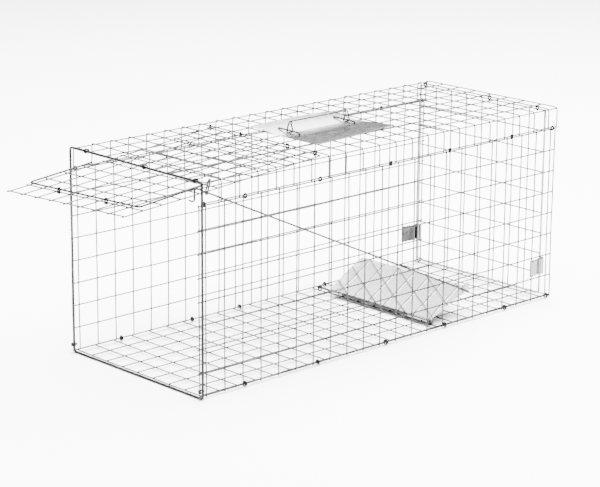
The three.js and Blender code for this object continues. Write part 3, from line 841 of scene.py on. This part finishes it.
def make_latch(name, side):
    """A strip of sheet on a side panel: hemmed round an upright, then a ramp, a seat for the
    rear wall's rod, and a stop turned in behind it. The strip's line is carried up its height."""
    low, high = corners(f"rear_latch_{name}")
    wall = corners("rear_wall")
    panel = middle(f"side_panel_{name}")[0]
    inner_box = low if side > 0 else high
    outer_box = high if side > 0 else low
    around = abs(outer_box[0] - panel) - SHEET / 2
    stop = abs(inner_box[0] - panel)
    inside = MESH_WIRE / 2 + 0.3 * MM + SHEET / 2
    seat = wall[0][1] - 2 * MM
    rod = abs(panel) - wall[1][0]
    ramp = rod - SHEET
    front = low[1] + SHEET / 2
    line = [[around, front + 5 * MM], [around, front], [-inside, front], [-inside, seat - 14 * MM],
            [-ramp, seat - 1.5 * MM], [-inside, seat], [-inside, high[1] - SHEET / 2],
            [-stop, high[1] - SHEET / 2]]
    points = [[panel + side * x, y, 0] for x, y in line]
    path = subdivided(rounded(points, 1.6 * MM, 5), 3 * MM)
    height = np.linspace(low[2], high[2], 15)
    grid = path[:, None] + height[None, :, None] * Z
    share = (height - low[2]) / (high[2] - low[2])
    rib = np.exp(-(((share - 0.5) / 0.12) ** 2)) * 0.9 * MM
    flat = np.clip(np.minimum(path[:, 1] - front - 3 * MM, seat - 16 * MM - path[:, 1]) / (2 * MM), 0, 1)
    flat = flat * (np.abs(np.abs(path[:, 0] - panel) - inside) < 0.5 * MM)
    grid[..., 0] -= side * flat[:, None] * rib[None, :]
    if side < 0:
        grid = grid[::-1]
    finishes = [SHADED_SHEET if side < 0 else LATCH_SHEET]
    piece(f"rear_latch_{name}_sheet", [(*sheet_metal(grid, SHEET), 0)], finishes, "cage",
          [f"rear_latch_{name}"])


# ---------- Setting ----------


def make_stage():
    """A broad pale floor at the trap's lowest level."""
    size = 14.0
    mesh = bpy.data.meshes.new("studio_floor")
    edge = size / 2
    outline = [(-edge, -edge, 0), (edge, -edge, 0), (edge, edge, 0), (-edge, edge, 0)]
    mesh.from_pydata(outline, [], [(0, 1, 2, 3)])
    floor = bpy.data.objects.new("studio_floor", mesh)
    bpy.context.scene.collection.objects.link(floor)
    paint = bpy.data.materials.new("studio_floor_paint")
    paint.use_nodes = True
    shader = paint.node_tree.nodes["Principled BSDF"]
    shader.inputs["Base Color"].default_value = (0.86, 0.86, 0.86, 1)
    shader.inputs["Roughness"].default_value = 0.9
    shader.inputs["Specular IOR Level"].default_value = 0.1
    mesh.materials.append(paint)


def laid_out(place, across, upward, back):
    """The matrix of an object at a place, with its own three axes along the given ones."""
    turn = Matrix([[*row] for row in np.stack([across, upward, back], axis=1)])
    return Matrix.Translation(place) @ turn.to_4x4()


def make_light(name, place, target, size, power):
    """A soft square light at a place, turned to a target."""
    data = bpy.data.lights.new(name, "AREA")
    data.shape = "RECTANGLE"
    data.size, data.size_y = size
    data.energy = power
    light = bpy.data.objects.new(name, data)
    bpy.context.scene.collection.objects.link(light)
    back = unit(np.asarray(place, float) - target)
    across = unit(np.cross(Z, back))
    upward = np.cross(back, across)
    light.matrix_world = laid_out(place, across, upward, back)


def make_lighting():
    """Pale surroundings, a broad light overhead, and two lower ones behind the trap that show in
    its sheet parts."""
    world = bpy.data.worlds.new("studio")
    world.use_nodes = True
    background = world.node_tree.nodes["Background"]
    background.inputs["Color"].default_value = (1, 1, 1, 1)
    background.inputs["Strength"].default_value = 0.8
    bpy.context.scene.world = world
    make_light("top_box", (0.2, 0.6, 3.4), (0.1, 0.3, 0), (4.5, 4.5), 2400)
    make_light("low_box", (-2.1, 2.05, 1.9), (0, 0, 0.35), (3.0, 0.85), 85)
    make_light("high_box", (-1.9, 1.35, 2.3), (0, 0.2, 0), (2.4, 1.2), 24)


def make_camera():
    """The camera stands off the entrance's +X corner and looks a little down along the trap."""
    azimuth, elevation, roll = (math.radians(angle) for angle in (46.576, 15.449, 0.429))
    aim = np.array([0.01216, 0.00507, 0.15619])
    distance = 98.8966 * MESH_PITCH
    back = np.array([math.sin(azimuth) * math.cos(elevation), -math.cos(azimuth) * math.cos(elevation),
                     math.sin(elevation)])
    level = unit(np.cross(Z, back))
    upward = np.cross(back, level)
    across = level * math.cos(roll) + upward * math.sin(roll)
    upward = np.cross(back, across)
    data = bpy.data.cameras.new("camera")
    data.sensor_width = 36
    data.lens = 134.69
    data.clip_end = 50
    camera = bpy.data.objects.new("camera", data)
    bpy.context.scene.collection.objects.link(camera)
    camera.matrix_world = laid_out(aim + back * distance, across, upward, back)
    bpy.context.scene.camera = camera


make_camera()
make_lighting()
make_stage()
make_roof()
for side_name, side_sign in (("left", -1), ("right", 1)):
    make_side(side_name, side_sign)
    make_latch(side_name, side_sign)
make_floor()
make_front_frame()
make_door()
make_lock_bar()
make_rear_wall()
make_pivot_rod()
make_treadle()
make_trigger_rod()
make_guide()
make_guard()
make_handle()
for end in ("front", "rear"):
    make_staple(end)
for body_name, members in frame["record"]["behaviour"]["bodies"].items():
    for member in members:
        if "_ring_" in member:
            make_ring(member, body_name)
